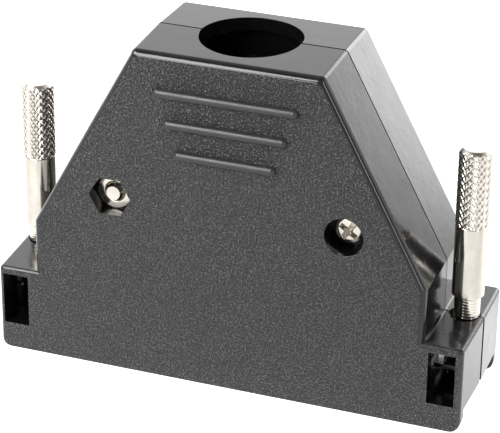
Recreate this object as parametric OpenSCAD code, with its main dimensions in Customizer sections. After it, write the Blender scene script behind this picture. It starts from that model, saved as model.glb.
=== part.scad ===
// Two-shell hood for a 50-way D-subminiature connector, straight cable exit.
// Frame: X across the two jackscrews, Y from the front face to the rear face,
// Z up. The hood stands on its open connector side; z = 0 is the bottom edge of
// the front and rear panels, and y = 0 is the parting plane of the two shells.
// The two shells are one and the same moulding, the rear one turned half round.

/* [Outline] */
// Distance between the two jackscrew axes
screw_spacing = 61.11; // [24.99:0.01:70]
// Overall depth of the closed hood, without the grip ribs
depth = 19.0; // [14:0.1:24]
// Height from the panel edges to the flat top
height = 47.3; // [35:0.1:60]
// Width of the flat top
top_w = 25.9; // [18:0.1:40]
// Width over the short upright walls above the ears
body_w = 55.1; // [40:0.1:60]
// Height at which the sloped sides start
slope_z = 20.0; // [15:0.1:30]
// Width over both ears
ears_w = 65.9; // [60:0.1:74]
// Height of the ear tops
ear_z = 12.5; // [8:0.1:16]
// Radius of the rounded rim of each face panel, above the ears
rim_r = 1.0; // [0.2:0.05:1.2]
// Radius of that rim on the ears
ear_rim_r = 0.6; // [0.2:0.05:0.8]
// Radius of the outline's corners
corner_r = 0.8; // [0.3:0.05:1.5]
// Inward lean of the side and slope faces over half the depth
draft_side = 0.2; // [0:0.05:0.6]
// Inward lean of the top and ear tops over half the depth
draft_top = 0.25; // [0:0.05:0.6]
// Radius of the lower corners of the face panels
foot_r = 1.5; // [0:0.1:3]

/* [Walls and cavity] */
// Thickness of the front and rear panels
panel_t = 1.7; // [1:0.1:2.5]
// Thickness of the side and slope walls
side_t = 1.5; // [1:0.1:2.5]
// Thickness of the top wall round the cable hole
top_t = 2.0; // [1:0.1:3]
// Height at which the ear side walls end, above the panel edges
flange_gap_h = 2.75; // [1.5:0.05:4]
// Height of the ridge that keeps the connector flange in its slot
ridge_h = 0.6; // [0:0.05:1]
// How far that ridge stands out of the panel
ridge_t = 0.3; // [0:0.05:0.6]
// Gap left between the rims of the two shells
seam = 0.1; // [0:0.02:0.3]
// Width of the relief slot on the ear sides
ear_slot = 0.44; // [0.1:0.02:0.8]
// Diameter of the cable hole
cable_d = 13.7; // [6:0.1:16]

/* [Ear windows] */
// Width of the rectangular windows in the ear fronts
window_w = 3.66; // [2:0.02:4.5]
// Lower edge of the windows
window_z0 = 3.73; // [3:0.01:6]
// Upper edge of the windows
window_z1 = 11.23; // [8:0.01:11.6]
// Centre of the left window, from the middle
window_left = 30.32; // [28:0.01:32]
// Centre of the right window, from the middle
window_right = 29.96; // [28:0.01:32]
// Inner wall of the ear chambers, from the middle
chamber_x = 26.9; // [26.6:0.05:28]

/* [Grip ribs] */
// Radius of the half-round grip ribs
rib_r = 0.65; // [0.3:0.05:1.2]
// Height of the lowest rib
rib_z = 33.3; // [28:0.1:38]
// Distance between ribs
rib_pitch = 4.2; // [2:0.1:6]
// Half length of the lowest rib
rib_half = 7.0; // [4:0.1:12]
// How much longer each rib is at either end than the one below
rib_grow = 1.42; // [0:0.02:3]

/* [Case screws] */
// Distance of the case screws from the middle
case_x = 16.2; // [10:0.1:20]
// Height of the case screws
case_z = 25.6; // [18:0.1:32]
// Thread diameter of the small screws
m_d = 2.5; // [2:0.1:3]
// Head diameter of the small screws
head_d = 4.0; // [3.5:0.1:5.5]
// Head height of the small screws
head_h = 1.7; // [1:0.1:2.5]
// Width across flats of the nuts
nut_af = 5.0; // [4:0.1:5.5]
// Thickness of the nuts
nut_h = 2.0; // [1:0.1:2.5]
// Diameter of the counterbore
cbore_d = 5.25; // [4.6:0.05:6.5]
// Depth from the panel face to the screw head
head_depth = 2.0; // [0.5:0.1:3]
// Depth from the panel face to the nut
nut_depth = 2.0; // [0.5:0.1:3]
// Clearance of the nut in its pocket, across flats
nut_clear = 0.1; // [0.02:0.02:0.3]
// Length of the case screws under the head
case_l = 14; // [10:0.5:16]

/* [Jackscrews] */
// Diameter of the knurled head
knurl_d = 4.4; // [4:0.05:7]
// Length of the knurled head
knurl_l = 10.85; // [6:0.05:16]
// Diameter of the plain shank
shank_d = 4.3; // [3.8:0.05:6]
// Length of the plain shank
shank_l = 10.25; // [4:0.05:16]
// Diameter of the neck in the ear
neck_d = 3.5; // [2.4:0.05:3.8]
// Length of the neck, down to the collar
neck_l = 10.05; // [8:0.05:11]
// Diameter of the guide collar low on the screw
collar_d = 4.1; // [3.8:0.05:4.3]
// Length of the collar
collar_l = 2.9; // [1:0.05:4]
// Major diameter of the lower thread
thread_d = 2.84; // [2:0.01:3.2]
// Length of the lower thread
thread_l = 2.1; // [2:0.05:8]
// Diameter of the groove for the retaining clip
groove_d = 2.3; // [1.8:0.05:2.6]
// Length of the retaining clip, from front to rear
clip_l = 6.4; // [5:0.1:8]
// Thickness of the retaining clip
clip_t = 0.6; // [0.4:0.05:1]
// Height of the clip's two turned-up ends
clip_tab = 2.6; // [1:0.1:4]
// Diameter of the hole in the ear top
ear_hole_d = 4.2; // [3.4:0.05:4.6]
// How far that hole sits inward of the jackscrew axis
ear_hole_in = 0.25; // [0:0.05:0.4]
// Radial running clearance of the collar in its bore
collar_fit = 0.07; // [0.02:0.01:0.1]
// Height of the left shoulder above the panel edges, as it stands
shoulder_left = 15.1; // [12.6:0.05:17]
// Height of the right shoulder above the panel edges, as it stands
shoulder_right = 15.6; // [12.6:0.05:17]

/* [Cable clamp] */
// Inner radius of the clamp saddles
clamp_r = 6.0; // [3:0.1:6.2]
// Thickness of the saddles
clamp_t = 1.2; // [0.8:0.1:1.5]
// Width of the saddles along the cable
clamp_w = 5.0; // [3:0.1:7]
// Length of the saddles
clamp_l = 26.4; // [20:0.1:28]
// Height of the middle of the clamp
clamp_z = 37.4; // [34:0.1:40]
// Distance of the clamp screws from the middle
clamp_x = 10.3; // [8:0.1:12]
// Half the gap between the two saddles
clamp_gap = 0.7; // [0.2:0.1:2]
// Length of the clamp screws under the head
clamp_screw_l = 6; // [5:0.5:10]

/* [Hidden] */
$fn = 96;
e = 0.01;
hd = depth/2;
inner_y = hd - panel_t;
slope_len = sqrt(pow(body_w/2 - top_w/2, 2) + pow(height - slope_z, 2));
nx = (height - slope_z)/slope_len;
nz = (body_w/2 - top_w/2)/slope_len;

// x on the sloped side, moved inward by o, at height z
function slope_x(z, o) = top_w/2 + (height - z)*(body_w/2 - top_w/2)/(height - slope_z) - o/nx;
// height on the sloped side, moved inward by o, at distance x
function slope_zz(x, o) = height - (x - top_w/2 + o/nx)*(height - slope_z)/(body_w/2 - top_w/2);

// points of a round corner of radius r at b, between a and c
function round_corner(a, b, c, r, n = 4) =
    let (u = (a - b)/norm(a - b), v = (c - b)/norm(c - b),
         t = acos(u*v), d = r/tan(t/2), m = b + (u + v)/norm(u + v)*r/sin(t/2),
         w0 = b + u*d - m, w1 = b + v*d - m, f = 180 - t)
    [for (i = [0:n]) m + (w0*sin((1 - i/n)*f) + w1*sin(i/n*f))/sin(f)];
function body_pts(s, t) =
    let (bx = body_w/2 - s, tz = height - t, ax = slope_x(tz, s), bz = slope_zz(bx, s))
    concat([[-bx, 0], [bx, 0]],
           round_corner([bx, 0], [bx, bz], [ax, tz], corner_r),
           round_corner([bx, bz], [ax, tz], [-ax, tz], corner_r),
           round_corner([ax, tz], [-ax, tz], [-bx, bz], corner_r),
           round_corner([-ax, tz], [-bx, bz], [-bx, 0], corner_r));
function base_pts(s, t) =
    let (ex = ears_w/2 - s, ez = ear_z - t)
    concat([[-ex, 0], [ex, 0]],
           round_corner([ex, 0], [ex, ez], [-ex, ez], corner_r - 0.3),
           round_corner([ex, ez], [-ex, ez], [-ex, 0], corner_r - 0.3));

// solid through a stack of like outlines, pts[i] lying in the plane y = ys[i]
module stack_solid(pts, ys) {
    n = len(pts[0]);
    k = len(ys);
    polyhedron(
        points = [for (i = [0:k-1]) for (p = pts[i]) [p[0], ys[i], p[1]]],
        faces = concat(
            [[for (j = [0:n-1]) n-1-j]],
            [[for (j = [0:n-1]) (k-1)*n + j]],
            [for (i = [0:k-2]) for (j = [0:n-1])
                [i*n + j, i*n + (j+1)%n, (i+1)*n + (j+1)%n, (i+1)*n + j]]),
        convexity = 4);
}

rim_a = [0, 15, 30, 45, 60, 75, 90];
function lean(y, d) = d*abs(y)/hd;
function stack_y(r) = concat([for (a = rim_a) -hd + r*(1 - cos(a))], [-seam/2]);
function stack_o(r) = concat([for (a = rim_a) r*(1 - sin(a))], [0]);

module outer_half() {
    let (ys = stack_y(rim_r), os = stack_o(rim_r))
        stack_solid([for (i = [0:len(ys) - 1]) body_pts(os[i] + lean(ys[i], draft_side),
                                                        os[i] + lean(ys[i], draft_top))], ys);
    let (ys = stack_y(ear_rim_r), os = stack_o(ear_rim_r))
        stack_solid([for (i = [0:len(ys) - 1]) base_pts(os[i] + lean(ys[i], draft_side),
                                                        os[i] + lean(ys[i], draft_top))], ys);
}

// cylinder along Y from y0 to y1
module ycyl(x, z, r, y0, y1, n = 96) {
    translate([x, y1, z]) rotate([90, 0, 0]) cylinder(r = r, h = y1 - y0, $fn = n);
}

module half_shell() {
    difference() {
        union() {
            difference() {
                outer_half();
                // room for the connector body, the wires and the clamp
                translate([0, 1, 0]) rotate([90, 0, 0])
                    linear_extrude(inner_y + 1)
                        polygon([[-body_w/2 + side_t, -1], [body_w/2 - side_t, -1],
                                 [body_w/2 - side_t, slope_zz(body_w/2 - side_t, side_t)],
                                 [slope_x(height - top_t, side_t), height - top_t],
                                 [-slope_x(height - top_t, side_t), height - top_t],
                                 [-body_w/2 + side_t, slope_zz(body_w/2 - side_t, side_t)]]);
            }
            // columns of the case screws
            ycyl(case_x, case_z, 4.1, -inner_y - e, 0);
            ycyl(-case_x, case_z, 4.2, -inner_y - e, 0);
            // columns of the locating pin and its socket
            for (s = [-1, 1]) ycyl(22*s, 16, 2.3, -inner_y - e, 0);
            ycyl(-22, 16, 1.1, -1, 1.4);
            // stops above and below the cable clamp
            for (s = [-1, 1]) for (z = [clamp_z - clamp_w/2 - 1.2, clamp_z + clamp_w/2])
                translate([s > 0 ? 7.8 : -14.0, -inner_y - e, z])
                    cube([6.2, inner_y - 1, 1.2]);
            // ridge that holds the flange of the connector
            translate([-23, -inner_y - e, 0]) cube([46, ridge_t + e, ridge_h]);
            // grip ribs
            for (i = [0:2]) translate([0, -hd, rib_z + i*rib_pitch]) {
                translate([-rib_half - i*rib_grow + rib_r, 0, 0]) rotate([0, 90, 0])
                    cylinder(r = rib_r, h = 2*(rib_half + i*rib_grow - rib_r), $fn = 48);
                for (s = [-1, 1]) translate([s*(rib_half + i*rib_grow - rib_r), 0, 0])
                    sphere(r = rib_r, $fn = 48);
            }
        }
        // half of the cable hole
        translate([0, 0, height - top_t - 1]) cylinder(d = cable_d, h = top_t + 2);
        // slot for the flange of the connector, open at both sides
        translate([-ears_w/2 - 1, -inner_y + 0, ridge_h]) cube([ears_w + 2, inner_y + 1, flange_gap_h - ridge_h]);
        for (s = [-1, 1]) translate([s > 0 ? 23 : -ears_w/2 - 1, -inner_y, -1])
            cube([ears_w/2 - 22, inner_y + 1, 1.5 + ridge_h]);
        // rounded lower corners
        for (s = [-1, 1]) translate([s*(ears_w/2 - draft_side - foot_r), 1, foot_r]) rotate([90, 0, 0])
            difference() {
                translate([s > 0 ? 0 : -3, -foot_r - 1, 0]) cube([3, foot_r + 1, hd + 2]);
                translate([0, 0, -1]) cylinder(r = foot_r, h = hd + 4);
            }
        // ear windows and the chambers behind them, where the clips travel
        for (x = [-window_left, window_right])
            translate([x - window_w/2, -hd - 1, window_z0]) cube([window_w, hd + 2, window_z1 - window_z0]);
        for (s = [-1, 1]) translate([s > 0 ? chamber_x : -chamber_x - 3, -inner_y, window_z0])
            cube([3, inner_y + 1, window_z1 - window_z0]);
        // half bores of the jackscrews
        for (s = [-1, 1]) {
            translate([s*screw_spacing/2, 0, flange_gap_h - 1])
                cylinder(r = collar_d/2 + collar_fit, h = window_z1 - flange_gap_h + 1);
            translate([s*(screw_spacing/2 - ear_hole_in), 0, window_z1 - 1]) cylinder(d = ear_hole_d, h = 4);
        }
        // relief slot on the ear sides
        for (s = [-1, 1]) translate([s > 0 ? screw_spacing/2 + 1 : -screw_spacing/2 - 4, -ear_slot/2, 1])
            cube([3, ear_slot, ear_z - 1.5]);
        // right: counterbore and clearance hole
        ycyl(case_x, case_z, cbore_d/2, -hd - 1, -hd + head_depth + head_h);
        ycyl(case_x, case_z, m_d/2 + 0.15, -hd, 1);
        // left: nut pocket and clearance hole
        ycyl(-case_x, case_z, (nut_af + nut_clear)/sqrt(3), -hd - 1, -hd + nut_depth + nut_h, 6);
        ycyl(-case_x, case_z, m_d/2 + 0.15, -hd, 1);
        // socket of the locating pin
        ycyl(22, 16, 1.2, -2, 1);
    }
}

module front_shell() { color([0.12, 0.12, 0.13]) half_shell(); }
module rear_shell() { color([0.15, 0.15, 0.16]) rotate([0, 0, 180]) half_shell(); }

// turned in one piece; z = 0 is the shoulder that can land on the ear top
module jackscrew() {
    c = 0.44;
    translate([0, 0, shank_l + knurl_l - c]) cylinder(d1 = knurl_d, d2 = knurl_d - 2*c, h = c);
    translate([0, 0, shank_l]) cylinder(d = knurl_d, h = knurl_l - c);
    cylinder(d = shank_d, h = shank_l);
    translate([0, 0, -neck_l + clip_t + 0.1]) cylinder(d = neck_d, h = neck_l - clip_t - 0.1);
    translate([0, 0, -neck_l]) cylinder(d = groove_d, h = clip_t + 0.1);
    translate([0, 0, -neck_l - collar_l + 0.5]) cylinder(d = collar_d, h = collar_l - 0.5);
    translate([0, 0, -neck_l - collar_l]) cylinder(d1 = collar_d - 1, d2 = collar_d, h = 0.5);
    translate([0, 0, -neck_l - collar_l - thread_l + 0.4]) cylinder(d = thread_d, h = thread_l - 0.4);
    translate([0, 0, -neck_l - collar_l - thread_l]) cylinder(d1 = thread_d - 0.8, d2 = thread_d, h = 0.4);
}
module jackscrew_left() { color([0.8, 0.79, 0.77]) translate([-screw_spacing/2, 0, shoulder_left]) jackscrew(); }
module jackscrew_right() { color([0.8, 0.79, 0.77]) translate([screw_spacing/2, 0, shoulder_right]) jackscrew(); }

// U-shaped retaining clip in the groove of a jackscrew, its closed side with two
// turned-up ends; z = 0 is the shoulder of that screw
module retaining_clip() {
    translate([0, 0, -neck_l + 0.05]) {
        linear_extrude(clip_t)
            difference() {
                translate([-3.3, -clip_l/2]) square([3.6, clip_l]);
                circle(r = groove_d/2 + 0.05);
                translate([0, -groove_d/2 - 0.05]) square([clip_l, groove_d + 0.1]);
            }
        for (s = [-1, 1])
            translate([-2.35, s*(clip_l/2 - 0.3), 0]) rotate([0, 0, -15*s])
                translate([-0.35, -0.2, 0]) cube([0.7, 0.4, clip_tab]);
    }
}
module clip_left() {
    color([0.7, 0.7, 0.7]) translate([-screw_spacing/2, 0, shoulder_left]) rotate([0, 0, 180]) retaining_clip();
}
module clip_right() {
    color([0.7, 0.7, 0.7]) translate([screw_spacing/2, 0, shoulder_right]) retaining_clip();
}

// small pan-head cross-recessed screw; its head seats on z = 0 and its thread runs to -Z
module pan_screw(l) {
    difference() {
        intersection() {
            cylinder(d = head_d, h = head_h);
            translate([0, 0, head_h - 5]) sphere(r = 5);
        }
        for (a = [0, 90]) rotate([0, 0, a]) translate([-1.25, -0.28, head_h - 0.95]) cube([2.5, 0.56, 2]);
        translate([0, 0, head_h - 1.1]) cylinder(d1 = 0.5, d2 = 1.3, h = 1.2);
    }
    translate([0, 0, -l + 0.3]) cylinder(d = m_d, h = l - 0.3 + e);
    translate([0, 0, -l]) cylinder(d1 = m_d - 0.7, d2 = m_d, h = 0.3);
}
module case_screw() {
    translate([case_x, -hd + head_depth + head_h, case_z]) rotate([90, 35, 0]) pan_screw(case_l);
}
module case_screw_front() { color([0.8, 0.79, 0.77]) case_screw(); }
module case_screw_rear() { color([0.8, 0.79, 0.77]) rotate([0, 0, 180]) case_screw(); }

// chamfered hexagon nut, its axis on Z
module hex_nut() {
    difference() {
        intersection() {
            cylinder(d = 2*nut_af/sqrt(3), h = nut_h, $fn = 6);
            translate([0, 0, -0.001]) cylinder(r1 = nut_af/2 - 0.3, r2 = nut_af/2 - 0.3 + 1.75*nut_h, h = nut_h + 0.002);
            translate([0, 0, -0.001]) cylinder(r2 = nut_af/2 - 0.3, r1 = nut_af/2 - 0.3 + 1.75*nut_h, h = nut_h + 0.002);
        }
        translate([0, 0, -1]) cylinder(d = m_d + 0.04, h = nut_h + 2);
        for (z = [-e, nut_h - 0.25 + e]) translate([0, 0, z])
            cylinder(d1 = z < 0 ? m_d + 0.5 : m_d, d2 = z < 0 ? m_d : m_d + 0.5, h = 0.25);
    }
}
module case_nut() {
    translate([-case_x, -hd + nut_depth + nut_h, case_z]) rotate([90, 0, 0]) hex_nut();
}
module case_nut_front() { color([0.8, 0.79, 0.77]) case_nut(); }
module case_nut_rear() { color([0.8, 0.79, 0.77]) rotate([0, 0, 180]) case_nut(); }

module clamp_saddle() {
    difference() {
        translate([0, 0, clamp_z - clamp_w/2]) linear_extrude(clamp_w)
            difference() {
                union() {
                    circle(r = clamp_r + clamp_t);
                    translate([-clamp_l/2, -clamp_gap - clamp_t]) square([clamp_l, clamp_t]);
                }
                circle(r = clamp_r);
                translate([-clamp_l, -clamp_gap]) square([2*clamp_l, clamp_r + 10]);
            }
        for (s = [-1, 1]) ycyl(s*clamp_x, clamp_z, m_d/2 + 0.15, -clamp_gap - clamp_t - 1, 0);
    }
}
module clamp_saddle_front() { color([0.7, 0.7, 0.72]) clamp_saddle(); }
module clamp_saddle_rear() { color([0.7, 0.7, 0.72]) rotate([0, 0, 180]) clamp_saddle(); }
module clamp_screw(s) {
    translate([s*clamp_x, -clamp_gap - clamp_t, clamp_z]) rotate([90, 20, 0]) pan_screw(clamp_screw_l);
}
module clamp_screw_left() { color([0.8, 0.79, 0.77]) clamp_screw(-1); }
module clamp_screw_right() { color([0.8, 0.79, 0.77]) clamp_screw(1); }
module clamp_nut(s) {
    translate([s*clamp_x, clamp_gap + clamp_t + nut_h, clamp_z]) rotate([90, 0, 0]) hex_nut();
}
module clamp_nut_left() { color([0.8, 0.79, 0.77]) clamp_nut(-1); }
module clamp_nut_right() { color([0.8, 0.79, 0.77]) clamp_nut(1); }

front_shell();
rear_shell();
jackscrew_left();
jackscrew_right();
clip_left();
clip_right();
case_screw_front();
case_screw_rear();
case_nut_front();
case_nut_rear();
clamp_saddle_front();
clamp_saddle_rear();
clamp_screw_left();
clamp_screw_right();
clamp_nut_left();
clamp_nut_right();
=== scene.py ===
import math

import bmesh
import bpy
from mathutils import Matrix, Vector


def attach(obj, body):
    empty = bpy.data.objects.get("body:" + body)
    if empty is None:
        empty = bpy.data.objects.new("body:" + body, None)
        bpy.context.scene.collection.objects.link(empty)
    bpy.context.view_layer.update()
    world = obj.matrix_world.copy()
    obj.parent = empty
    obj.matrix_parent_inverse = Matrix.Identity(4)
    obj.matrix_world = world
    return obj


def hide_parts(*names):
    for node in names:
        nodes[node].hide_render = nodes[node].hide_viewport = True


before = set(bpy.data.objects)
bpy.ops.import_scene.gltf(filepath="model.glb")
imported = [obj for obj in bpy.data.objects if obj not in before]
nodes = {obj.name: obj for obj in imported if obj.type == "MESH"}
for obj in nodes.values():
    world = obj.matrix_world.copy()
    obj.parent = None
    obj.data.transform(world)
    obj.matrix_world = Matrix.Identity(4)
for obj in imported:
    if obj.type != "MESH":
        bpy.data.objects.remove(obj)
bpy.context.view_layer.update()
scene = bpy.context.scene
MM = 0.001

# sizes of the part, as in its construction (mm)
SPACING = 61.11
HD = 9.5             # half depth
HEIGHT = 47.3
BODY_RIM = 1.0
EAR_RIM = 0.6
SHOULDER_L = 15.1
SHOULDER_R = 15.6
NECK_L = 10.05
COLLAR_L = 2.9
THREAD_L = 2.1
SHANK_L = 10.25
KNURL_L = 10.85


# ---------------------------------------------------------------- materials
def new_material(name):
    m = bpy.data.materials.new(name)
    m.use_nodes = True
    nt = m.node_tree
    nt.nodes.clear()
    out = nt.nodes.new("ShaderNodeOutputMaterial")
    p = nt.nodes.new("ShaderNodeBsdfPrincipled")
    nt.links.new(p.outputs["BSDF"], out.inputs["Surface"])
    return m, nt, p


def node(nt, kind, **values):
    n = nt.nodes.new(kind)
    for k, v in values.items():
        if hasattr(n, k):
            setattr(n, k, v)
        else:
            n.inputs[k].default_value = v
    return n


def link(nt, a, b):
    nt.links.new(a, b)


def coords(nt, scale=(1, 1, 1)):
    """object coordinates in millimetres"""
    tc = node(nt, "ShaderNodeTexCoord")
    mp = node(nt, "ShaderNodeMapping")
    mp.inputs["Scale"].default_value = tuple(1000 * s for s in scale)
    link(nt, tc.outputs["Object"], mp.inputs["Vector"])
    return mp.outputs["Vector"]


def ramp(nt, fac, stops):
    r = node(nt, "ShaderNodeValToRGB")
    el = r.color_ramp.elements
    while len(el) < len(stops):
        el.new(0.5)
    for e, (pos, v) in zip(el, stops):
        e.position = pos
        e.color = (v, v, v, 1) if not hasattr(v, "__len__") else (*v, 1)
    link(nt, fac, r.inputs["Fac"])
    return r.outputs["Color"]


def math_node(nt, op, a, b=None):
    n = node(nt, "ShaderNodeMath", operation=op)
    for i, v in enumerate((a, b)):
        if v is None:
            continue
        if isinstance(v, (int, float)):
            n.inputs[i].default_value = v
        else:
            link(nt, v, n.inputs[i])
    return n.outputs[0]


def grained_plastic():
    """spark-eroded grain of the two large faces; its tone follows the grain's height, with painted shade in the pits
    and painted highlight on the tops
    """
    m, nt, p = new_material("plastic_grained")
    v = coords(nt)
    cells = node(nt, "ShaderNodeTexNoise", Scale=4.3, Detail=1.0, Roughness=0.5)
    fine = node(nt, "ShaderNodeTexNoise", Scale=8.5, Detail=1.0, Roughness=0.5)
    broad = node(nt, "ShaderNodeTexNoise", Scale=0.09, Detail=2.0, Roughness=0.5)
    for n in (cells, fine, broad):
        link(nt, v, n.inputs["Vector"])
    h1 = ramp(nt, cells.outputs["Fac"], [(0.34, 0.0), (0.50, 0.45), (0.66, 1.0)])
    h = math_node(nt, "ADD", h1, math_node(nt, "MULTIPLY", fine.outputs["Fac"], 0.35))
    b = node(nt, "ShaderNodeBump", Strength=1.0, Distance=0.00030)
    link(nt, h, b.inputs["Height"])
    link(nt, b.outputs["Normal"], p.inputs["Normal"])
    # tone: the plastic's own random tone from the broad noise, plus painted shade and painted highlight that follow
    # the cell height
    tone = math_node(nt, "ADD", math_node(nt, "MULTIPLY", h1, 0.90), math_node(nt, "MULTIPLY", broad.outputs["Fac"], 0.10))
    col = ramp(nt, tone, [(0.08, (0.005, 0.005, 0.0051)), (0.48, (0.0235, 0.0235, 0.0239)), (0.95, (0.095, 0.095, 0.096))])
    link(nt, col, p.inputs["Base Color"])
    rough = ramp(nt, h1, [(0.0, 0.42), (1.0, 0.30)])
    link(nt, rough, p.inputs["Roughness"])
    p.inputs["IOR"].default_value = 1.5
    return m


def rib_plastic():
    """the three ribs: smooth, with a soft sheen"""
    m, nt, p = new_material("plastic_rib")
    v = coords(nt, (0.4, 1.0, 1.0))
    n1 = node(nt, "ShaderNodeTexNoise", Scale=1.6, Detail=2.0, Roughness=0.5)
    link(nt, v, n1.inputs["Vector"])
    b = node(nt, "ShaderNodeBump", Strength=0.3, Distance=0.00003)
    link(nt, n1.outputs["Fac"], b.inputs["Height"])
    link(nt, b.outputs["Normal"], p.inputs["Normal"])
    col = ramp(nt, n1.outputs["Fac"], [(0.35, (0.017, 0.017, 0.0174)), (0.65, (0.024, 0.024, 0.0244))])
    link(nt, col, p.inputs["Base Color"])
    rough = ramp(nt, n1.outputs["Fac"], [(0.35, 0.30), (0.65, 0.38)])
    link(nt, rough, p.inputs["Roughness"])
    p.inputs["IOR"].default_value = 1.5
    return m


def glossy_plastic():
    """polished mould surfaces: rims, top, slopes and ear sides"""
    m, nt, p = new_material("plastic_glossy")
    v = coords(nt)
    flow = node(nt, "ShaderNodeTexNoise", Scale=0.32, Detail=3.0, Roughness=0.55)
    orange = node(nt, "ShaderNodeTexNoise", Scale=1.6, Detail=2.0, Roughness=0.5)
    for n in (flow, orange):
        link(nt, v, n.inputs["Vector"])
    b = node(nt, "ShaderNodeBump", Strength=0.3, Distance=0.00002)
    waves = math_node(nt, "MULTIPLY", flow.outputs["Fac"], 4.0)
    link(nt, math_node(nt, "ADD", orange.outputs["Fac"], waves), b.inputs["Height"])
    link(nt, b.outputs["Normal"], p.inputs["Normal"])
    col = ramp(nt, flow.outputs["Fac"], [(0.35, (0.0075, 0.0075, 0.008)), (0.65, (0.010, 0.010, 0.0105))])
    link(nt, col, p.inputs["Base Color"])
    rough = ramp(nt, flow.outputs["Fac"], [(0.35, 0.10), (0.65, 0.17)])
    link(nt, rough, p.inputs["Roughness"])
    p.inputs["IOR"].default_value = 1.5
    return m


def satin_plastic(name, lo, hi):
    """ears: less polished than the body, on their tops and rounded rims"""
    m, nt, p = new_material(name)
    v = coords(nt)
    n1 = node(nt, "ShaderNodeTexNoise", Scale=0.9, Detail=3.0, Roughness=0.55)
    n2 = node(nt, "ShaderNodeTexNoise", Scale=3.2, Detail=2.0, Roughness=0.5)
    for n in (n1, n2):
        link(nt, v, n.inputs["Vector"])
    b = node(nt, "ShaderNodeBump", Strength=0.4, Distance=0.00003)
    link(nt, n2.outputs["Fac"], b.inputs["Height"])
    link(nt, b.outputs["Normal"], p.inputs["Normal"])
    col = ramp(nt, n1.outputs["Fac"], [(0.35, (0.017, 0.017, 0.0175)), (0.65, (0.025, 0.025, 0.0255))])
    link(nt, col, p.inputs["Base Color"])
    rough = ramp(nt, n1.outputs["Fac"], [(0.35, lo), (0.65, hi)])
    link(nt, rough, p.inputs["Roughness"])
    p.inputs["IOR"].default_value = 1.5
    return m


def inner_plastic_painted_shade():
    """inside of the shells, the holes and the pockets: the shell plastic made darker and less reflective, painted
    shade
    """
    m, nt, p = new_material("plastic_inner_painted_shade")
    v = coords(nt)
    n1 = node(nt, "ShaderNodeTexNoise", Scale=2.5, Detail=3.0, Roughness=0.6)
    link(nt, v, n1.inputs["Vector"])
    b = node(nt, "ShaderNodeBump", Strength=0.4, Distance=0.00003)
    link(nt, n1.outputs["Fac"], b.inputs["Height"])
    link(nt, b.outputs["Normal"], p.inputs["Normal"])
    # darker than the outer plastic, and less reflective by its lower IOR below: painted shade
    col = ramp(nt, n1.outputs["Fac"], [(0.35, (0.0025, 0.0025, 0.0027)), (0.65, (0.0040, 0.0040, 0.0042))])
    link(nt, col, p.inputs["Base Color"])
    rough = ramp(nt, n1.outputs["Fac"], [(0.35, 0.09), (0.65, 0.15)])
    link(nt, rough, p.inputs["Roughness"])
    p.inputs["IOR"].default_value = 1.38
    return m


def nickel(name, rough_lo, rough_hi, scale=(0.5, 0.5, 9.0), tint=(0.72, 0.675, 0.605), bump=0.25):
    """nickel plating over turned steel or brass, with fine turning marks round the axis"""
    m, nt, p = new_material(name)
    v = coords(nt, scale)
    marks = node(nt, "ShaderNodeTexNoise", Scale=1.5, Detail=3.0, Roughness=0.6)
    link(nt, v, marks.inputs["Vector"])
    v2 = coords(nt)
    cloud = node(nt, "ShaderNodeTexNoise", Scale=0.8, Detail=2.0, Roughness=0.5)
    link(nt, v2, cloud.inputs["Vector"])
    b = node(nt, "ShaderNodeBump", Strength=bump, Distance=0.00001)
    link(nt, marks.outputs["Fac"], b.inputs["Height"])
    link(nt, b.outputs["Normal"], p.inputs["Normal"])
    dark = tuple(0.93 * c for c in tint)
    col = ramp(nt, cloud.outputs["Fac"], [(0.35, dark), (0.65, tint)])
    link(nt, col, p.inputs["Base Color"])
    rough = ramp(nt, marks.outputs["Fac"], [(0.3, rough_lo), (0.7, rough_hi)])
    link(nt, rough, p.inputs["Roughness"])
    p.inputs["Metallic"].default_value = 1.0
    return m


def sheet_steel(name, tint, lo, hi):
    m, nt, p = new_material(name)
    v = coords(nt, (0.6, 4.0, 4.0))
    grain = node(nt, "ShaderNodeTexNoise", Scale=1.2, Detail=4.0, Roughness=0.6)
    link(nt, v, grain.inputs["Vector"])
    b = node(nt, "ShaderNodeBump", Strength=0.3, Distance=0.00001)
    link(nt, grain.outputs["Fac"], b.inputs["Height"])
    link(nt, b.outputs["Normal"], p.inputs["Normal"])
    dark = tuple(0.86 * c for c in tint)
    col = ramp(nt, grain.outputs["Fac"], [(0.35, dark), (0.65, tint)])
    link(nt, col, p.inputs["Base Color"])
    rough = ramp(nt, grain.outputs["Fac"], [(0.3, lo), (0.7, hi)])
    link(nt, rough, p.inputs["Roughness"])
    p.inputs["Metallic"].default_value = 1.0
    return m


MAT_GRAIN = grained_plastic()
MAT_RIB = rib_plastic()
MAT_GLOSS = glossy_plastic()
# the shell plastic darkened for the insides and holes: painted shade
MAT_INNER_PAINTED_SHADE = inner_plastic_painted_shade()
MAT_SATIN = satin_plastic("plastic_satin", 0.22, 0.32)
MAT_EAR_TOP = satin_plastic("plastic_ear_top", 0.13, 0.20)
MAT_NICKEL = nickel("nickel_screw", 0.10, 0.20)
MAT_NICKEL_END = nickel("nickel_end_face", 0.22, 0.34, scale=(4.0, 4.0, 4.0), tint=(0.66, 0.625, 0.57))
MAT_NICKEL_SMALL = nickel("nickel_small", 0.12, 0.22, scale=(1.5, 1.5, 1.5))
MAT_STEEL = sheet_steel("spring_steel", (0.62, 0.61, 0.60), 0.16, 0.28)
MAT_CLAMP = sheet_steel("clamp_steel", (0.60, 0.60, 0.61), 0.26, 0.40)


# ---------------------------------------------------------------- mesh helpers
def add_object(name, mesh, mats):
    for mt in mats:
        mesh.materials.append(mt)
    ob = bpy.data.objects.new(name, mesh)
    scene.collection.objects.link(ob)
    return ob


def smooth_by_angle(mesh, deg):
    for p in mesh.polygons:
        p.use_smooth = True
    mesh.set_sharp_from_angle(angle=math.radians(deg))


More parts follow.
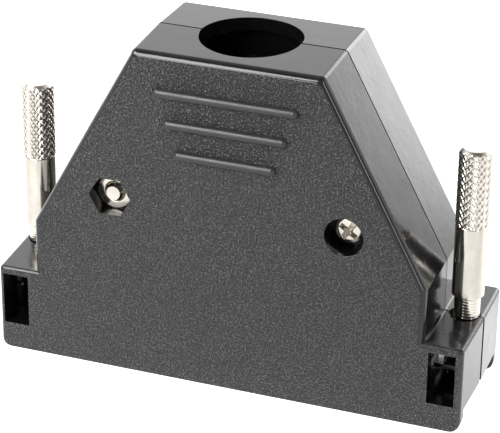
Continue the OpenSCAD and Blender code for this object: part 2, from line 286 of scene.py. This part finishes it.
def corner_normals(bm, deg):
    """One normal per face corner: smooth over edges flatter than deg, and in a smooth group every flat
    area counts by its whole size, so that the large faces stay flat right up to their rounded edges."""
    bm.faces.ensure_lookup_table()
    region = {}
    size, facing = [], []
    for f in bm.faces:
        if f.index in region:
            continue
        k = len(size)
        region[f.index] = k
        stack, total, n = [f], 0.0, Vector()
        while stack:
            g = stack.pop()
            a = g.calc_area()
            total += a
            n += g.normal * a
            for e in g.edges:
                if len(e.link_faces) != 2:
                    continue
                h = e.link_faces[0] if e.link_faces[1] is g else e.link_faces[1]
                if h.index not in region and g.normal.dot(h.normal) > 0.99998:
                    region[h.index] = k
                    stack.append(h)
        size.append(total)
        facing.append(n.normalized() if n.length > 0 else f.normal.copy())
    limit = math.cos(math.radians(deg))
    out = []
    for f in bm.faces:
        for lp in f.loops:
            v = lp.vert
            seen, stack = {f}, [f]
            while stack:
                g = stack.pop()
                for e in g.edges:
                    if v not in e.verts or len(e.link_faces) != 2:
                        continue
                    h = e.link_faces[0] if e.link_faces[1] is g else e.link_faces[1]
                    if h not in seen and g.normal.dot(h.normal) > limit:
                        seen.add(h)
                        stack.append(h)
            n = Vector()
            for k in {region[g.index] for g in seen}:
                n += facing[k] * size[k]
            out.append(tuple(n.normalized()) if n.length > 0 else tuple(f.normal))
    return out


def shell_look(name, cad, side):
    """The moulded half shell with its small edge radii. side is -1 at the front, +1 at the rear."""
    bm = bmesh.new()
    bm.from_mesh(nodes[cad].data)
    bmesh.ops.remove_doubles(bm, verts=bm.verts, dist=2e-6)
    bmesh.ops.dissolve_limit(bm, angle_limit=math.radians(0.6), verts=bm.verts, edges=bm.edges)
    # the joint between the shells stays open by a hair, and the slot in the ear side is a little wider
    for v in bm.verts:
        d = v.co.y * side / MM
        if abs(d - 0.05) < 0.02:
            v.co.y = side * (0.14 if v.co.z > 46.5 * MM else 0.11) * MM
        elif abs(d - 0.22) < 0.02 and abs(v.co.x) > 31.0 * MM:
            v.co.y = side * 0.37 * MM
    bm.normal_update()

    def sharp(e):
        return e.is_manifold and e.is_convex and e.calc_face_angle() > math.radians(38)

    def outside(e):
        """edges on the outer surfaces, where the light catches their small radius"""
        a, b = e.verts[0].co, e.verts[1].co
        mid = (a + b) / 2
        x, y, z = abs(mid.x) / MM, mid.y / MM * side, mid.z / MM
        on_face = y > HD - 0.02
        top = z > HEIGHT - 0.5
        ear_side = x > 32.6
        low = z < 3.0
        joint = max(a.y * side, b.y * side) < 0.40 * MM     # these edges stay sharp
        return (on_face or top or ear_side or low) and not joint

    def round_rim(e):
        """rims of the cable hole and the screw counterbore, which have a larger radius"""
        for v in e.verts:
            x, y, z = v.co.x / MM, v.co.y / MM * side, v.co.z / MM
            hole = z > HEIGHT - 0.4 and abs(math.hypot(x, y) - 6.85) < 0.08 and y > 0.3
            bore = y > HD - 0.02 and abs(math.hypot(x + side * 16.2, z - 25.6) - 2.625) < 0.06
            pocket = y > HD - 0.02 and 2.4 < math.hypot(x - side * 16.2, z - 25.6) < 3.1
            if not (hole or bore or pocket):
                return False
        return True

    chosen = [e for e in bm.edges if sharp(e) and outside(e)]
    wide = [e for e in chosen if round_rim(e)]
    narrow = [e for e in chosen if e not in set(wide)]
    for group, size, steps in ((wide, 0.22, 3), (narrow, 0.09, 2)):
        group = [e for e in group if e.is_valid]
        bmesh.ops.bevel(bm, geom=group, offset=size * MM, offset_type="OFFSET", segments=steps,
                        profile=0.5, affect="EDGES", clamp_overlap=True, harden_normals=False)
    wall_feet(bm, side)
    if side > 0:
        joint_tongue(bm)
    bmesh.ops.triangulate(bm, faces=[f for f in bm.faces if len(f.verts) > 4])
    bm.normal_update()
    for f in bm.faces:
        c, n = f.calc_center_median(), f.normal
        x, y, z = abs(c.x) / MM, c.y / MM * side, c.z / MM
        depth_in = HD - y
        grain = y > HD - 0.04 and n.y * side > 0.985
        inner_painted_shade = False
        if not grain:
            # faces that look inward, or lie in the holes and under the panels; they take the darkened plastic,
            # painted shade
            inner_painted_shade = inside_surface(c, n, side) or hole_wall(c, n, side)
        rib = y > HD + 0.01
        ear = x > 27.7 and z < 12.6 and not inner_painted_shade
        if rib:
            f.material_index = 3
        elif grain:
            f.material_index = 0
        elif inner_painted_shade:
            f.material_index = 2
        elif ear and n.z > 0.97:
            f.material_index = 5
        elif ear and ((n.z > 0.3 and z > 11.5) or n.y * side > 0.12):
            f.material_index = 4
        else:
            f.material_index = 1
    bm.faces.index_update()
    normals = corner_normals(bm, 33)
    mesh = bpy.data.meshes.new(name)
    bm.to_mesh(mesh)
    bm.free()
    ob = add_object(name, mesh, [MAT_GRAIN, MAT_GLOSS, MAT_INNER_PAINTED_SHADE, MAT_RIB, MAT_SATIN, MAT_EAR_TOP])
    for p in mesh.polygons:
        p.use_smooth = True
    mesh.normals_split_custom_set(normals)
    return ob


def wall_feet(bm, side):
    """small hollow radius where the two body walls stand on the ears, as a closed fillet"""
    for sx_ in (-1, 1):
        rows = []
        for i in range(25):
            y = 0.14 + (HD - 0.9 - 0.14) * i / 24
            r = 0.30 * min(1.0, (HD - 0.85 - y) / 0.9)
            lean = y / HD
            xw, zt = 27.55 - 0.2 * lean, 12.5 - 0.25 * lean
            row = []
            for k in range(7):
                a = math.radians(90 * k / 6)
                x = xw + r * (1 - math.cos(a)) - 0.004
                z = zt + r * (1 - math.sin(a)) - 0.004
                row.append(bm.verts.new((sx_ * x * MM, side * y * MM, z * MM)))
            row.append(bm.verts.new((sx_ * (xw - 0.06) * MM, side * y * MM, (zt - 0.06) * MM)))
            rows.append(row)
        made = [bm.faces.new(rows[0]), bm.faces.new(rows[-1])]
        for a, b in zip(rows, rows[1:]):
            for k in range(8):
                q = (k + 1) % 8
                made.append(bm.faces.new([a[k], a[q], b[q], b[k]]))
        bmesh.ops.recalc_face_normals(bm, faces=made)


def joint_tongue(bm):
    """low ridge of the rear shell inside the joint, so that no light shines through it"""
    half = 0.17
    for sx_ in (-1, 1):
        line = [(7.3, 47.3, 12.7, 47.3, 0.8, 0.5), (12.95, 47.3, 27.55, 20.0, 0.8, 0.5),
                (27.55, 20.4, 27.55, 12.3, 0.8, 0.5), (27.4, 12.5, 28.3, 12.5, 0.5, 0.35)]
        for x0, z0, x1, z1, deep, thick in line:
            dx, dz = x1 - x0, z1 - z0
            k = math.hypot(dx, dz)
            nx, nz = dz / k, -dx / k                      # inward
            if x0 * nx + (z0 - 8.0) * nz > 0:
                nx, nz = -nx, -nz
            corner = []
            for px, pz in ((x0, z0), (x1, z1)):
                for d in (deep, deep + thick):
                    for y in (-half, half):
                        corner.append(bm.verts.new((sx_ * (px + nx * d) * MM, y * MM, (pz + nz * d) * MM)))
            box = ((0, 1, 5, 4), (2, 6, 7, 3), (0, 4, 6, 2), (1, 3, 7, 5), (0, 2, 3, 1), (4, 5, 7, 6))
            made = [bm.faces.new([corner[i] for i in q]) for q in box]
            bmesh.ops.recalc_face_normals(bm, faces=made)


def hole_wall(c, n, side):
    """walls of the cable hole, the pockets, the windows and the open joint"""
    x, y, z = c.x / MM, c.y / MM * side, c.z / MM
    if abs(n.z) < 0.4 and z > 45.0 and math.hypot(x, y) < 7.2:
        return True
    if abs(n.y) < 0.4 and math.hypot(abs(x) - 16.2, z - 25.6) < 3.0:
        return True
    if abs(y) < 0.2 and n.y * side > -0.5 and z > 11.0 and abs(x) > 7.0:
        return True                                       # the ridge in the joint
    if abs(n.y) < 0.12 and 28.0 < abs(x) < 32.3 and 3.6 < z < 11.35 and y > 6.0:
        return True
    return y < 0.41 and n.y * side < -0.5


def inside_surface(c, n, side):
    """True for a face of the cavity, columns or windows, False for the outside of the shell"""
    x, y, z = c.x / MM, c.y / MM * side, c.z / MM
    ax = abs(x)
    # the outline, moved in a little
    if z > 20.0:
        edge = 12.95 + (47.3 - z) * (27.55 - 12.95) / 27.3 - 0.45 - BODY_RIM / 0.88
    elif z > 12.6:
        edge = 27.55 - 0.3 - BODY_RIM
    else:
        edge = 33.0 - 0.3 - EAR_RIM
    near_side = ax > edge and (n.x * (1 if x > 0 else -1) > -0.2)
    near_top = z > 47.3 - 0.4 - BODY_RIM and n.z > -0.2
    ear_top = z > 12.5 - 0.4 - EAR_RIM and z < 12.6 and ax > 27.0 and n.z > -0.2
    face = y > HD - 1.05 and n.y * side > -0.2
    return not (near_side or near_top or ear_top or face)


def revolve_grid(name, rows, n_theta, radius, mat, z0, cap_top=True, cap_bottom=True, sharp_deg=30, seam_shift=0.0):
    """Mesh round Z. rows are z values in mm (a repeated z makes a step), radius(row index, z, theta) in mm."""
    verts, faces = [], []
    for i, z in enumerate(rows):
        for j in range(n_theta):
            t = 2 * math.pi * j / n_theta + seam_shift
            r = radius(i, z, t)
            verts.append((r * math.cos(t) * MM, r * math.sin(t) * MM, (z + z0) * MM))
    for i in range(len(rows) - 1):
        for j in range(n_theta):
            a = i * n_theta + j
            b = i * n_theta + (j + 1) % n_theta
            faces.append((a, b, b + n_theta, a + n_theta))
    if cap_bottom:
        c = len(verts)
        verts.append((0, 0, (rows[0] + z0) * MM))
        for j in range(n_theta):
            faces.append((c, (j + 1) % n_theta, j))
    if cap_top:
        c = len(verts)
        verts.append((0, 0, (rows[-1] + z0) * MM))
        k = (len(rows) - 1) * n_theta
        for j in range(n_theta):
            faces.append((c, k + j, k + (j + 1) % n_theta))
    mesh = bpy.data.meshes.new(name)
    mesh.from_pydata(verts, [], faces)
    mesh.validate()
    mesh.update()
    smooth_by_angle(mesh, sharp_deg)
    return mesh


def tri(t):
    """0 at whole numbers, 1 half way"""
    f = t - math.floor(t)
    return 1 - abs(2 * f - 1)


KNURL_N = 16          # grooves each way round
KNURL_H = 1.04        # height of one diamond, mm
KNURL_DEPTH = 0.115


def jackscrew_look(name, x, shoulder, cad, body, turn=0.0):
    """Turned screw: knurled head, shank, ringed neck, clip groove, collar and thread."""
    R_K, R_S, R_N, R_G, R_C, R_T = 2.2, 2.15, 1.75, 1.15, 2.05, 1.42
    rows, kinds = [], []

    def add(z, kind):
        rows.append(z)
        kinds.append(kind)

    z_tip = -NECK_L - COLLAR_L - THREAD_L
    z_col = -NECK_L - COLLAR_L
    # thread
    step = 0.635 / 12
    n = int(round((THREAD_L) / step))
    for i in range(n + 1):
        add(z_tip + THREAD_L * i / n, ("thread", None))
    # collar
    add(z_col, ("flat", R_C - 0.5))
    add(z_col + 0.5, ("flat", R_C))
    add(-NECK_L - 0.12, ("flat", R_C))
    add(-NECK_L, ("flat", R_C - 0.12))
    # groove
    add(-NECK_L, ("flat", R_G))
    add(-NECK_L + 0.7, ("flat", R_G))
    # neck with its fine rings
    add(-NECK_L + 0.7, ("flat", R_N - 0.1))
    add(-NECK_L + 0.8, ("flat", R_N))
    neck_top, neck_bot = -0.25, -NECK_L + 1.3
    pitch = 0.43
    m = int((neck_top - neck_bot) / pitch) * 8
    for i in range(m + 1):
        add(neck_bot + (neck_top - neck_bot) * i / m, ("rings", None))
    add(0, ("flat", R_N))
    # shank
    add(0, ("flat", R_S - 0.12))
    add(0.12, ("flat", R_S))
    add(SHANK_L - 0.1, ("flat", R_S))
    add(SHANK_L - 0.02, ("flat", R_S - 0.03))
    # knurl
    z_end = SHANK_L + KNURL_L
    k = int(round(KNURL_L / (KNURL_H / 12)))
    for i in range(k + 1):
        add(SHANK_L + KNURL_L * i / k, ("knurl", None))
    c = 0.44
    n_theta = KNURL_N * 12

    def radius(i, z, t):
        kind, r = kinds[i]
        if kind == "flat":
            return r
        if kind == "rings":
            f = ((z - neck_bot) / pitch + t / (2 * math.pi)) % 1.0
            return R_N - 0.018 * (1 - abs(2 * f - 1)) ** 2
        if kind == "thread":
            f = ((z - z_tip) / 0.635 + t / (2 * math.pi)) % 1.0
            h = abs(2 * f - 1)          # 1 at the crest
            rr = R_T - 0.36 + 0.36 * min(1.0, h * 1.15)
            lead = min(1.0, (z - z_tip) / 0.5)
            return min(rr, R_T - 0.45 + 0.45 * lead)
        a = KNURL_N * t / (2 * math.pi) + (z - SHANK_L) / KNURL_H
        b = KNURL_N * t / (2 * math.pi) - (z - SHANK_L) / KNURL_H
        h = min(tri(a), tri(b))
        r = R_K - KNURL_DEPTH * (1 - min(1.0, h * 1.8))
        # chamfer at the top and lead-in at the bottom
        r = min(r, R_K - c + (z_end - z) * 1.0)
        r = min(r, R_S - 0.05 + (z - SHANK_L) * 1.2)
        return r

    mesh = revolve_grid(name, rows, n_theta, radius, None, 0.0, sharp_deg=28)
    ob = add_object(name, mesh, [MAT_NICKEL, MAT_NICKEL_END])
    for p in mesh.polygons:
        if p.center.z > (z_end - c * 0.95) * MM:
            p.material_index = 1
    mesh.transform(Matrix.Translation((x * MM, 0, shoulder * MM)) @ Matrix.Rotation(turn, 4, "Z"))
    ob.data.update()
    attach(ob, body)
    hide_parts(cad)
    return ob


def pan_screw_look(name, cad, place, length, body):
    """Cross-recessed pan head screw of 2.5 mm. Local Z is the axis, 0 under the head."""
    n_theta = 144
    R_H, H_H, R_M = 2.0, 1.7, 1.25

    def dome(r):
        return H_H - 0.36 * (r / R_H) ** 6

    def recess(x, y):
        d = 0.0
        for u, v in ((abs(x), abs(y)), (abs(y), abs(x))):
            if u < 1.3:
                deep = 0.25 + 0.95 * (1 - u / 1.3) ** 0.8
                d = max(d, min(deep, (0.36 - v) / 0.14))
        cone = 1.2 - math.hypot(x, y) * 1.45
        return max(0.0, d, cone if math.hypot(x, y) < 0.62 else 0.0)

    verts, faces = [], []
    rings = []

    def ring(fn):
        start = len(verts)
        for j in range(n_theta):
            t = 2 * math.pi * j / n_theta
            r, z = fn(t)
            verts.append((r * math.cos(t) * MM, r * math.sin(t) * MM, z * MM))
        rings.append(start)

    m = 40
    for i in range(1, m + 1):
        r = R_H * i / m * 0.985
        ring(lambda t, r=r: (r, dome(r) - recess(r * math.cos(t), r * math.sin(t))))
    ring(lambda t: (R_H, dome(R_H) - 0.05))
    ring(lambda t: (R_H, 0.06))
    ring(lambda t: (R_H - 0.06, 0.0))
    ring(lambda t: (R_M, 0.0))
    pitch, k = 0.45, 6
    rows = int((length - 0.3) / pitch * k)
    for i in range(1, rows + 1):
        z = -(length - 0.3) * i / rows

        def thread(t, z=z):
            f = (z / pitch + t / (2 * math.pi)) % 1.0
            return R_M - 0.24 * (1 - min(1.0, abs(2 * f - 1) * 1.15)), z
        ring(thread)
    ring(lambda t: (R_M - 0.3, -length))
    for a, b in zip(rings, rings[1:]):
        for j in range(n_theta):
            q = (j + 1) % n_theta
            faces.append((a + j, b + j, b + q, a + q))
    c = len(verts)
    verts.append((0, 0, (dome(0) - recess(0, 0)) * MM))
    faces += [(c, rings[0] + j, rings[0] + (j + 1) % n_theta) for j in range(n_theta)]
    c = len(verts)
    verts.append((0, 0, (-length + 0.05) * MM))
    faces += [(c, rings[-1] + (j + 1) % n_theta, rings[-1] + j) for j in range(n_theta)]
    mesh = bpy.data.meshes.new(name)
    mesh.from_pydata(verts, [], faces)
    mesh.transform(place)
    mesh.update()
    smooth_by_angle(mesh, 35)
    ob = add_object(name, mesh, [MAT_NICKEL_SMALL])
    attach(ob, body)
    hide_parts(cad)
    return ob


def nut_look(name, cad, place, body):
    """Hexagon nut of 2.5 mm, chamfered on both faces, with its thread. Local Z is the axis, 0 to 2 mm."""
    n_theta = 120
    AF, H, R_F, R_M = 5.0, 2.0, 2.36, 1.27

    def hexr(t):
        return AF / 2 / math.cos((t % (math.pi / 3)) - math.pi / 6)

    def cut(r):
        return max(0.0, (r - R_F) / 1.75)

    verts, faces, rings = [], [], []

    def ring(fn):
        rings.append(len(verts))
        for j in range(n_theta):
            t = 2 * math.pi * j / n_theta
            r, z = fn(t)
            verts.append((r * math.cos(t) * MM, r * math.sin(t) * MM, z * MM))

    ring(lambda t: (1.52, H))
    ring(lambda t: (R_F - 0.02, H))
    ring(lambda t: (R_F + 0.02, H - 0.012))
    for f in (0.5, 0.97):
        ring(lambda t, f=f: (R_F + (hexr(t) - R_F) * f, H - cut(R_F + (hexr(t) - R_F) * f)))
    ring(lambda t: (hexr(t), H - cut(hexr(t)) - 0.03))
    ring(lambda t: (hexr(t), cut(hexr(t)) + 0.03))
    for f in (0.97, 0.5):
        ring(lambda t, f=f: (R_F + (hexr(t) - R_F) * f, cut(R_F + (hexr(t) - R_F) * f)))
    ring(lambda t: (R_F, 0.0))
    ring(lambda t: (1.52, 0.0))
    ring(lambda t: (1.5, 0.01))
    ring(lambda t: (R_M, 0.25))
    pitch = 0.45
    rows = 20
    for i in range(1, rows):
        z = 0.25 + (H - 0.5) * i / rows

        def thread(t, z=z):
            f = (z / pitch + t / (2 * math.pi)) % 1.0
            return R_M + 0.04 * (1 - abs(2 * f - 1)), z
        ring(thread)
    ring(lambda t: (R_M, H - 0.25))
    ring(lambda t: (1.5, H - 0.01))
    for a, b in zip(rings, rings[1:] + rings[:1]):
        for j in range(n_theta):
            q = (j + 1) % n_theta
            faces.append((a + j, b + j, b + q, a + q))
    mesh = bpy.data.meshes.new(name)
    mesh.from_pydata(verts, [], faces)
    mesh.transform(place)
    mesh.update()
    smooth_by_angle(mesh, 22)
    ob = add_object(name, mesh, [MAT_NICKEL_SMALL])
    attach(ob, body)
    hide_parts(cad)
    return ob


def place(x, y, z, spin=0.0, flip=False):
    """axis toward the front (-Y), or toward the rear when flipped round the vertical"""
    m = (Matrix.Translation((x * MM, y * MM, z * MM)) @ Matrix.Rotation(math.radians(spin), 4, "Y")
         @ Matrix.Rotation(math.radians(90), 4, "X"))
    return (Matrix.Rotation(math.pi, 4, "Z") @ m) if flip else m


def cad_finish(name, mat, bevel=0.0, deg=32):
    """A carried-over CAD node with its finish; the bevel argument, for a small edge radius, is not used."""
    ob = nodes[name]
    ob.data.materials.clear()
    ob.data.materials.append(mat)
    return ob


# ---------------------------------------------------------------- the hood
front = shell_look("front_shell_moulding", "front_shell", -1)
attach(front, "hood"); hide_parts("front_shell")
rear = shell_look("rear_shell_moulding", "rear_shell", 1)
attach(rear, "hood"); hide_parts("rear_shell")

jackscrew_look("jackscrew_left_turned", -SPACING / 2, SHOULDER_L, "jackscrew_left", "left_screw", 0.3)
jackscrew_look("jackscrew_right_turned", SPACING / 2, SHOULDER_R, "jackscrew_right", "right_screw", 1.1)

CASE_X, CASE_Z = 16.2, 25.6
pan_screw_look("case_screw_front_turned", "case_screw_front", place(CASE_X, -HD + 3.7, CASE_Z, 35), 14.0, "hood")
pan_screw_look("case_screw_rear_turned", "case_screw_rear", place(CASE_X, -HD + 3.7, CASE_Z, 35, True), 14.0, "hood")
nut_look("case_nut_front_hex", "case_nut_front", place(-CASE_X, -HD + 4.0, CASE_Z), "hood")
nut_look("case_nut_rear_hex", "case_nut_rear", place(-CASE_X, -HD + 4.0, CASE_Z, 0, True), "hood")
for s_, side_ in ((-1, "left"), (1, "right")):
    pan_screw_look("clamp_screw_%s_turned" % side_, "clamp_screw_" + side_,
                   place(s_ * 10.3, -1.9, 37.4, 20), 6.0, "hood")
    nut_look("clamp_nut_%s_hex" % side_, "clamp_nut_" + side_, place(s_ * 10.3, 3.9, 37.4), "hood")
for n_ in ("clip_left", "clip_right"):
    cad_finish(n_, MAT_STEEL)
for n_ in ("clamp_saddle_front", "clamp_saddle_rear"):
    cad_finish(n_, MAT_CLAMP)


# ---------------------------------------------------------------- floor, light, camera
def floor_plane():
    bm = bmesh.new()
    s = 1.6
    vs = [bm.verts.new((x, y, -0.00002)) for x, y in ((-s, -s), (s, -s), (s, s), (-s, s))]
    bm.faces.new(vs)
    mesh = bpy.data.meshes.new("floor")
    bm.to_mesh(mesh)
    bm.free()
    m, nt, p = new_material("floor_lightbox")
    tc = node(nt, "ShaderNodeTexCoord")
    sep = node(nt, "ShaderNodeSeparateXYZ")
    link(nt, tc.outputs["Object"], sep.inputs["Vector"])
    x, y = sep.outputs["X"], sep.outputs["Y"]

    def step(value, a, b):
        n = node(nt, "ShaderNodeMapRange", interpolation_type="SMOOTHSTEP")
        link(nt, value, n.inputs["Value"])
        n.inputs["From Min"].default_value = a
        n.inputs["From Max"].default_value = b
        return n.outputs["Result"]

    tone = node(nt, "ShaderNodeTexNoise", Scale=9.0, Detail=2.0, Roughness=0.5)
    link(nt, tc.outputs["Object"], tone.inputs["Vector"])
    col = ramp(nt, tone.outputs["Fac"], [(0.3, (0.245, 0.245, 0.245)), (0.7, (0.255, 0.255, 0.255))])
    link(nt, col, p.inputs["Base Color"])
    # a translucent sheet lit from below, brighter toward the right and the back; dark under the part, painted shade,
    # with painted light round the part and painted shade just in front of it
    e = math_node(nt, "MULTIPLY_ADD", step(x, 0.0, -0.07), FLOOR_LEFT)
    e.node.inputs[2].default_value = FLOOR_FRONT
    e2 = math_node(nt, "MULTIPLY", step(x, 0.02, 0.07), FLOOR_RIGHT)
    e3 = math_node(nt, "MULTIPLY", step(y, -0.01, 0.03), FLOOR_BACK)
    e4 = math_node(nt, "ADD", math_node(nt, "ADD", e, e2), e3)
    ax = math_node(nt, "ABSOLUTE", x)
    ay = math_node(nt, "ABSOLUTE", y)
    # glow cut off under the part: painted shade inside the hood
    under = math_node(nt, "MULTIPLY", step(ax, 0.0300, 0.0270), step(ay, 0.0085, 0.0070))
    keep = math_node(nt, "SUBTRACT", 1.0, under)
    # extra glow round the part that washes out its shadow: painted light
    painted_light_near = math_node(nt, "MULTIPLY", step(ax, 0.062, 0.040), step(ay, 0.040, 0.016))
    far = math_node(nt, "MULTIPLY", step(y, -0.035, -0.085), FLOOR_FAR)
    e5 = math_node(nt, "ADD", math_node(nt, "ADD", e4, far), math_node(nt, "MULTIPLY", painted_light_near, FLOOR_PAINTED_LIGHT))
    # dimmer band just in front of the part: painted shade
    before = math_node(nt, "MULTIPLY", step(ax, 0.030, 0.020), step(y, -0.010, -0.017))
    before = math_node(nt, "MULTIPLY", before, step(y, -0.040, -0.030))
    e5 = math_node(nt, "SUBTRACT", e5, math_node(nt, "MULTIPLY", before, 0.35))
    # the sweep far behind the part is as bright as the backdrop above it
    across = math_node(nt, "DIVIDE", x, math_node(nt, "MAXIMUM", y, 0.01))
    sweep = math_node(nt, "MULTIPLY", step(across, 0.68, 0.44), step(y, 0.07, 0.20))
    e5 = math_node(nt, "ADD", e5, math_node(nt, "MULTIPLY", sweep, 3.0))
    link(nt, math_node(nt, "MULTIPLY", e5, keep), p.inputs["Emission Strength"])
    p.inputs["Emission Color"].default_value = (1, 1, 1, 1)
    p.inputs["Roughness"].default_value = 0.9
    p.inputs["Specular IOR Level"].default_value = 0.1
    ob = add_object("floor", mesh, [m])
    return ob


# the sixth value is the glow added round the part, painted light
FLOOR_FRONT, FLOOR_LEFT, FLOOR_RIGHT, FLOOR_BACK, FLOOR_FAR, FLOOR_PAINTED_LIGHT = 0.70, 0.15, 0.05, 0.50, 0.10, 0.65
floor_plane()

WORLD_FRONT, WORLD_BACK = 0.35, 1.50
world = bpy.data.worlds.new("studio")
scene.world = world
world.use_nodes = True
wt = world.node_tree
wt.nodes.clear()
wo = wt.nodes.new("ShaderNodeOutputWorld")
bg = wt.nodes.new("ShaderNodeBackground")
wt.links.new(bg.outputs["Background"], wo.inputs["Surface"])
tc = wt.nodes.new("ShaderNodeTexCoord")
sx = wt.nodes.new("ShaderNodeSeparateXYZ")
wt.links.new(tc.outputs["Generated"], sx.inputs["Vector"])
# bright paper behind the object, a dim room in front of it and overhead


def world_step(value, a, b):
    n = wt.nodes.new("ShaderNodeMapRange")
    n.interpolation_type = "SMOOTHSTEP"
    wt.links.new(value, n.inputs["Value"])
    n.inputs["From Min"].default_value = a
    n.inputs["From Max"].default_value = b
    return n.outputs["Result"]


behind = world_step(sx.outputs["Y"], -0.35, 0.45)
low = world_step(sx.outputs["Z"], 0.85, 0.60)
lum = math_node(wt, "MULTIPLY", math_node(wt, "MULTIPLY_ADD", behind, WORLD_BACK),
                math_node(wt, "MULTIPLY_ADD", low, 0.65))
for n_ in [n for n in wt.nodes if n.bl_idname == "ShaderNodeMath" and n.operation == "MULTIPLY_ADD"]:
    n_.inputs[2].default_value = WORLD_FRONT if abs(n_.inputs[1].default_value - WORLD_BACK) < 1e-6 else 0.35
# the lit backdrop to the right of the middle, its edges soft
across = math_node(wt, "DIVIDE", sx.outputs["X"], math_node(wt, "MAXIMUM", sx.outputs["Y"], 0.05))
drop = math_node(wt, "MULTIPLY", world_step(across, 0.68, 0.44), world_step(across, -0.09, 0.14))
drop = math_node(wt, "MULTIPLY", drop, world_step(sx.outputs["Z"], 0.56, 0.44))
drop = math_node(wt, "MULTIPLY", drop, world_step(sx.outputs["Y"], 0.0, 0.15))
higher = math_node(wt, "MULTIPLY", world_step(sx.outputs["Z"], 0.05, 0.20), 1.8)
gain = math_node(wt, "ADD", higher, 3.0)
lum = math_node(wt, "ADD", lum, math_node(wt, "MULTIPLY", drop, gain))
bg.inputs["Color"].default_value = (1, 1, 1, 1)
wt.links.new(lum, bg.inputs["Strength"])


def softbox(name, direction, distance, width, height, radiance, aim=(0, 0, 0.02)):
    """rectangular area light of a given brightness, seen from the part in a given direction"""
    d = bpy.data.lights.new(name, "AREA")
    d.shape = "RECTANGLE"
    d.size, d.size_y = width, height
    d.energy = radiance * math.pi * width * height
    ob = bpy.data.objects.new(name, d)
    scene.collection.objects.link(ob)
    a = Vector(aim)
    where = a + Vector(direction).normalized() * distance
    ob.location = where
    ob.rotation_mode = "QUATERNION"
    ob.rotation_quaternion = (a - where).to_track_quat("-Z", "Y")
    return ob


softbox("front_high", (-0.50, -0.60, 0.62), 0.165, 0.13, 0.08, 11.5)
softbox("front_low", (-0.31, -0.94, 0.15), 0.34, 0.10, 0.085, 8.0, aim=(0, 0, 0.034))
softbox("right_strip", (0.80, -0.50, 0.27), 0.80, 0.13, 0.55, 6.0)

yaw, pitch, roll = math.radians(19.72498), math.radians(26.55604), math.radians(-0.70506)
DIST, F_PX, CX, CY = 0.313174, 2339.144, 246.932, 216.541
target = Vector((-0.000315, 0.0, 0.0212195))
back_v = Vector((math.sin(yaw) * math.cos(pitch), -math.cos(yaw) * math.cos(pitch), math.sin(pitch)))
fwd = -back_v
right = Vector((math.cos(yaw), math.sin(yaw), 0))
up = right.cross(fwd)
cr, sr = math.cos(roll), math.sin(roll)
right2 = cr * right - sr * up
up2 = sr * right + cr * up
cam_data = bpy.data.cameras.new("camera")
cam = bpy.data.objects.new("camera", cam_data)
scene.collection.objects.link(cam)
cam_data.sensor_width = 36.0
cam_data.sensor_fit = "AUTO"
cam_data.lens = F_PX * 36.0 / 500.0
cam_data.shift_x = (250.0 - CX) / 500.0
cam_data.shift_y = -(216.5 - CY) / 500.0
cam_data.clip_start, cam_data.clip_end = 0.01, 20.0
loc = target + back_v * DIST
cam.matrix_world = Matrix(((right2.x, up2.x, back_v.x, loc.x),
                           (right2.y, up2.y, back_v.y, loc.y),
                           (right2.z, up2.z, back_v.z, loc.z),
                           (0, 0, 0, 1)))
scene.camera = cam

scene.view_settings.view_transform = "Standard"
scene.view_settings.look = "None"
scene.view_settings.exposure = 0.0
scene.cycles.use_denoising = True
